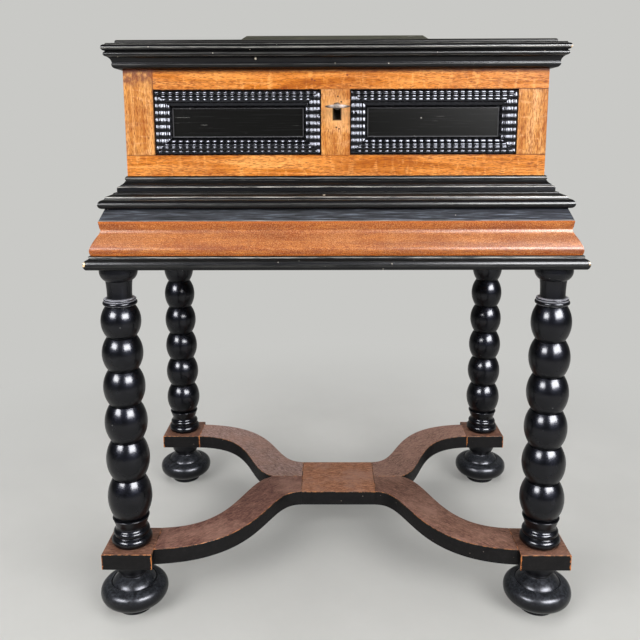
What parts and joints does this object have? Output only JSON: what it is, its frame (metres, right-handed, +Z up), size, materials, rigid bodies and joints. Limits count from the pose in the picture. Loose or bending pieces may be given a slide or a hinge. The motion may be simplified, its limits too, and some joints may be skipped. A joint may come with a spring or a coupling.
{
  "type": "lift-lid casket on stand",
  "caption": "Lift-lid oak and ebonised casket with rippled panel frames and key, on a moulded stand with bead-turned legs, curved flat stretcher and bun feet.",
  "frame": {"origin": "on the floor, midway between the four legs", "axes": "+X to the viewer's right, +Y to the back, +Z up; the front with the keyhole faces -Y"},
  "size_m": [0.698, 0.5024, 0.839],
  "materials": {
    "ebonised_turned": "black stained, waxed, turned",
    "ebonised_moulding": "black stained, waxed, scratched",
    "ebonised_panel": "black stained, flat, scratched",
    "ebonised_ripple": "black stained, rippled, polished",
    "stained_stretcher": "red-brown stain, worn edges",
    "oak_frieze": "waxed oak, red-brown",
    "oak_casket": "waxed oak, golden brown",
    "oak_carcase": "plain old oak, unpolished",
    "iron": "old wrought iron"
  },
  "bodies": {
    "casket_on_stand": {"bottom_moulding": "ebonised_moulding", "casket_back": "oak_carcase", "casket_base_moulding": "ebonised_moulding", "casket_bottom": "oak_carcase", "casket_bottom_rail": "oak_casket", "casket_fixing_screws": "iron", "casket_muntin": "oak_casket", "casket_side_left": "oak_casket", "casket_side_right": "oak_casket", "casket_stile_left": "oak_casket", "casket_stile_right": "oak_casket", "casket_top_rail": "oak_casket", "foot_back_left": "ebonised_turned", "foot_back_right": "ebonised_turned", "foot_front_left": "ebonised_turned", "foot_front_right": "ebonised_turned", "frame_glue_blocks": "oak_carcase", "frame_rail_back": "oak_carcase", "frame_rail_front": "oak_carcase", "frame_rail_left": "oak_carcase", "frame_rail_right": "oak_carcase", "frieze_back": "oak_carcase", "frieze_front": "oak_frieze", "frieze_left": "oak_frieze", "frieze_right": "oak_frieze", "hinge_leaves_casket": "iron", "hinge_pins": "iron", "hinge_screws_casket": "iron", "leg_back_left": "ebonised_turned", "leg_back_right": "ebonised_turned", "leg_front_left": "ebonised_turned", "leg_front_right": "ebonised_turned", "lock_case": "iron", "lock_plate": "iron", "lock_screws": "iron", "panel_left": "ebonised_panel", "panel_right": "ebonised_panel", "ripple_frame_left": "ebonised_ripple", "ripple_frame_right": "ebonised_ripple", "splay_moulding": "ebonised_moulding", "stand_top": "ebonised_moulding", "stand_top_moulding": "ebonised_moulding", "stretcher_arm_back_left": "stained_stretcher", "stretcher_arm_back_right": "stained_stretcher", "stretcher_arm_front_left": "stained_stretcher", "stretcher_arm_front_right": "stained_stretcher", "stretcher_block_back_left": "stained_stretcher", "stretcher_block_back_right": "stained_stretcher", "stretcher_block_front_left": "stained_stretcher", "stretcher_block_front_right": "stained_stretcher", "stretcher_board": "stained_stretcher"},
    "lid": {"hinge_leaves_lid": "iron", "hinge_screws_lid": "iron", "lid_board": "ebonised_moulding", "lid_moulding": "ebonised_moulding", "lid_raised_panel": "ebonised_moulding", "lid_staple": "iron", "lid_tier": "ebonised_moulding"},
    "key": {"key": "iron"},
    "bolt": {"lock_bolt": "iron"}
  },
  "joints": [
    {"name": "lid_hinge", "type": "hinge", "parent": "casket_on_stand", "child": "lid", "pos_m": [0, 0.23515, 0.7835], "axis": [-1, 0, 0], "range_deg": [0, 100]},
    {"name": "key_turn", "type": "hinge", "parent": "casket_on_stand", "child": "key", "pos_m": [0.002, -0.19, 0.7325], "axis": [0, -1, 0], "range_deg": [-90, 270]},
    {"name": "bolt_slide", "type": "slide", "parent": "casket_on_stand", "child": "bolt", "axis": [-1, 0, 0], "range_m": [-0.0031, 0.0091]}
  ],
  "couplings": [
    {"joint": "bolt_slide", "follows": "key_turn", "m_per_rad": 0.0019099}
  ]
}
